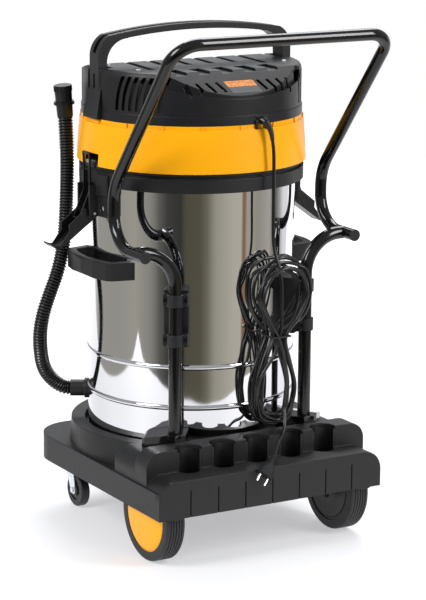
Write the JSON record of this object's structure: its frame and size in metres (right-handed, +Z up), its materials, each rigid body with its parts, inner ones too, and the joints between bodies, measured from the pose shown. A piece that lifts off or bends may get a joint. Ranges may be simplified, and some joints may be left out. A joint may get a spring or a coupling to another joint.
{
  "type": "wet and dry vacuum cleaner",
  "caption": "Upright industrial vacuum: polished steel tank on a wheeled trolley with push handle, yellow and black motor head, side latches, drain hose and coiled mains cord.",
  "frame": {"origin": "on the floor below the middle of the bounding box, cord and drain hose left out", "axes": "+Z up, -Y towards the operator at the push handle, +X to the operator's right when facing the machine from behind"},
  "size_m": [0.6966, 0.6869, 1.1082],
  "materials": {
    "trolley_plastic": "moulded, fine grain",
    "cup_plastic": "moulded, satin",
    "zinc": "zinc plated",
    "yellow_plastic": "semi-gloss",
    "tyre": "ribbed rubber",
    "castor_tread": "smooth",
    "black_tube": "gloss powder coat",
    "black_steel": "satin coat",
    "polished_steel": "mirror polished stainless sheet",
    "hose": "corrugated",
    "cover_plastic": "moulded, satin",
    "plate": "satin plate",
    "seal": "soft seal",
    "motor_steel": "pressed steel",
    "fan_metal": "pressed sheet",
    "cage_plastic": "moulded",
    "float_plastic": "smooth",
    "filter_cloth": "woven cloth",
    "switch_red": "smooth",
    "cord_rubber": "satin",
    "tie": "satin",
    "plug_metal": "nickel plated"
  },
  "bodies": {
    "chassis": {"trolley_base": "trolley_plastic", "tool_cups": "cup_plastic", "rear_axle": "zinc", "castor_plates": "zinc", "rear_posts": "black_tube", "post_feet": "black_tube", "post_clamps": "trolley_plastic", "push_handle": "black_tube", "handle_caps": "cup_plastic", "tank": "polished_steel", "tank_collar": "trolley_plastic", "side_grips": "trolley_plastic", "latch_brackets": "trolley_plastic", "latch_pins": "zinc", "tank_screws": "zinc", "hose_inlet": "trolley_plastic", "drain_fitting": "trolley_plastic", "drain_hose": "hose", "drain_cuff": "cup_plastic", "cap_tether": "cup_plastic", "power_cord": "cord_rubber", "cord_hank": "cord_rubber", "cord_tie": "tie", "plug_body": "cord_rubber", "plug_pins": "plug_metal"},
    "head": {"head_ring": "yellow_plastic", "head_cover": "cover_plastic", "carry_handle": "cover_plastic", "rating_plate": "plate", "head_base": "trolley_plastic", "head_gasket": "seal", "latch_keepers": "zinc", "motor_cans": "motor_steel", "float_cage": "cage_plastic", "filter_bag": "filter_cloth", "switch_panel": "cover_plastic", "cord_gland": "cord_rubber", "cover_screws": "zinc"},
    "wheel_left": {"hub_left": "yellow_plastic", "tyre_left": "tyre"},
    "castor_swivel_left": {"castor_fork_left": "zinc", "castor_axle_left": "zinc"},
    "castor_roller_left": {"castor_wheel_left": "castor_tread"},
    "lever_left": {"latch_lever_left": "black_steel"},
    "bail_left": {"latch_bail_left": "black_steel"},
    "wheel_right": {"hub_right": "yellow_plastic", "tyre_right": "tyre"},
    "castor_swivel_right": {"castor_fork_right": "zinc", "castor_axle_right": "zinc"},
    "castor_roller_right": {"castor_wheel_right": "castor_tread"},
    "lever_right": {"latch_lever_right": "black_steel"},
    "bail_right": {"latch_bail_right": "black_steel"},
    "fan_1": {"impeller_1": "fan_metal"},
    "rocker_1": {"switch_1": "switch_red"},
    "fan_2": {"impeller_2": "fan_metal"},
    "rocker_2": {"switch_2": "switch_red"},
    "fan_3": {"impeller_3": "fan_metal"},
    "rocker_3": {"switch_3": "switch_red"},
    "float": {"float_ball": "float_plastic"},
    "cap": {"drain_cap": "cup_plastic"}
  },
  "joints": [
    {"name": "wheel_left_spin", "type": "hinge", "parent": "chassis", "child": "wheel_left", "pos_m": [-0.229, -0.19358, 0.098], "axis": [1, 0, 0], "continuous": true},
    {"name": "castor_left_swivel", "type": "hinge", "parent": "chassis", "child": "castor_swivel_left", "pos_m": [-0.196, 0.23842, 0.1], "axis": [0, 0, 1], "continuous": true},
    {"name": "castor_left_roll", "type": "hinge", "parent": "castor_swivel_left", "child": "castor_roller_left", "pos_m": [-0.196, 0.21342, 0.0375], "axis": [1, 0, 0], "continuous": true},
    {"name": "latch_left_lever", "type": "hinge", "parent": "chassis", "child": "lever_left", "pos_m": [-0.25, 0.05342, 0.703], "axis": [0, -1, 0], "range_deg": [0, 34]},
    {"name": "latch_left_bail", "type": "hinge", "parent": "lever_left", "child": "bail_left", "pos_m": [-0.27897, 0.05342, 0.69184], "axis": [0, -1, 0], "range_deg": [-34, 0]},
    {"name": "wheel_right_spin", "type": "hinge", "parent": "chassis", "child": "wheel_right", "pos_m": [0.229, -0.19358, 0.098], "axis": [1, 0, 0], "continuous": true},
    {"name": "castor_right_swivel", "type": "hinge", "parent": "chassis", "child": "castor_swivel_right", "pos_m": [0.196, 0.23842, 0.1], "axis": [0, 0, 1], "continuous": true},
    {"name": "castor_right_roll", "type": "hinge", "parent": "castor_swivel_right", "child": "castor_roller_right", "pos_m": [0.196, 0.21342, 0.0375], "axis": [1, 0, 0], "continuous": true},
    {"name": "latch_right_lever", "type": "hinge", "parent": "chassis", "child": "lever_right", "pos_m": [0.25, 0.05342, 0.703], "axis": [0, 1, 0], "range_deg": [0, 34]},
    {"name": "latch_right_bail", "type": "hinge", "parent": "lever_right", "child": "bail_right", "pos_m": [0.27897, 0.05342, 0.69184], "axis": [0, 1, 0], "range_deg": [-34, 0]},
    {"name": "head_lift", "type": "slide", "parent": "chassis", "child": "head", "axis": [0, 0, 1], "range_m": [0, 0.3]},
    {"name": "fan_1_spin", "type": "hinge", "parent": "head", "child": "fan_1", "pos_m": [0.09007, 0.10542, 0.83], "axis": [0, 0, 1], "continuous": true},
    {"name": "fan_2_spin", "type": "hinge", "parent": "head", "child": "fan_2", "pos_m": [-0.09007, 0.10542, 0.83], "axis": [0, 0, 1], "continuous": true},
    {"name": "fan_3_spin", "type": "hinge", "parent": "head", "child": "fan_3", "pos_m": [0, -0.05058, 0.83], "axis": [0, 0, 1], "continuous": true},
    {"name": "float_rise", "type": "slide", "parent": "head", "child": "float", "axis": [0, 0, 1], "range_m": [0, 0.042]},
    {"name": "switch_1_rock", "type": "hinge", "parent": "head", "child": "rocker_1", "pos_m": [0.038, 0.29262, 0.945], "axis": [1, 0, 0], "range_deg": [0, 10]},
    {"name": "switch_2_rock", "type": "hinge", "parent": "head", "child": "rocker_2", "pos_m": [0, 0.29262, 0.945], "axis": [1, 0, 0], "range_deg": [0, 10]},
    {"name": "switch_3_rock", "type": "hinge", "parent": "head", "child": "rocker_3", "pos_m": [-0.038, 0.29262, 0.945], "axis": [1, 0, 0], "range_deg": [0, 10]},
    {"name": "cap_pull", "type": "slide", "parent": "chassis", "child": "cap", "axis": [-0.1045, -0.0349, 0.9939], "range_m": [0, 0.03]}
  ],
  "couplings": [
    {"joint": "latch_left_bail", "follows": "latch_left_lever", "ratio": -1},
    {"joint": "latch_right_bail", "follows": "latch_right_lever", "ratio": -1}
  ]
}
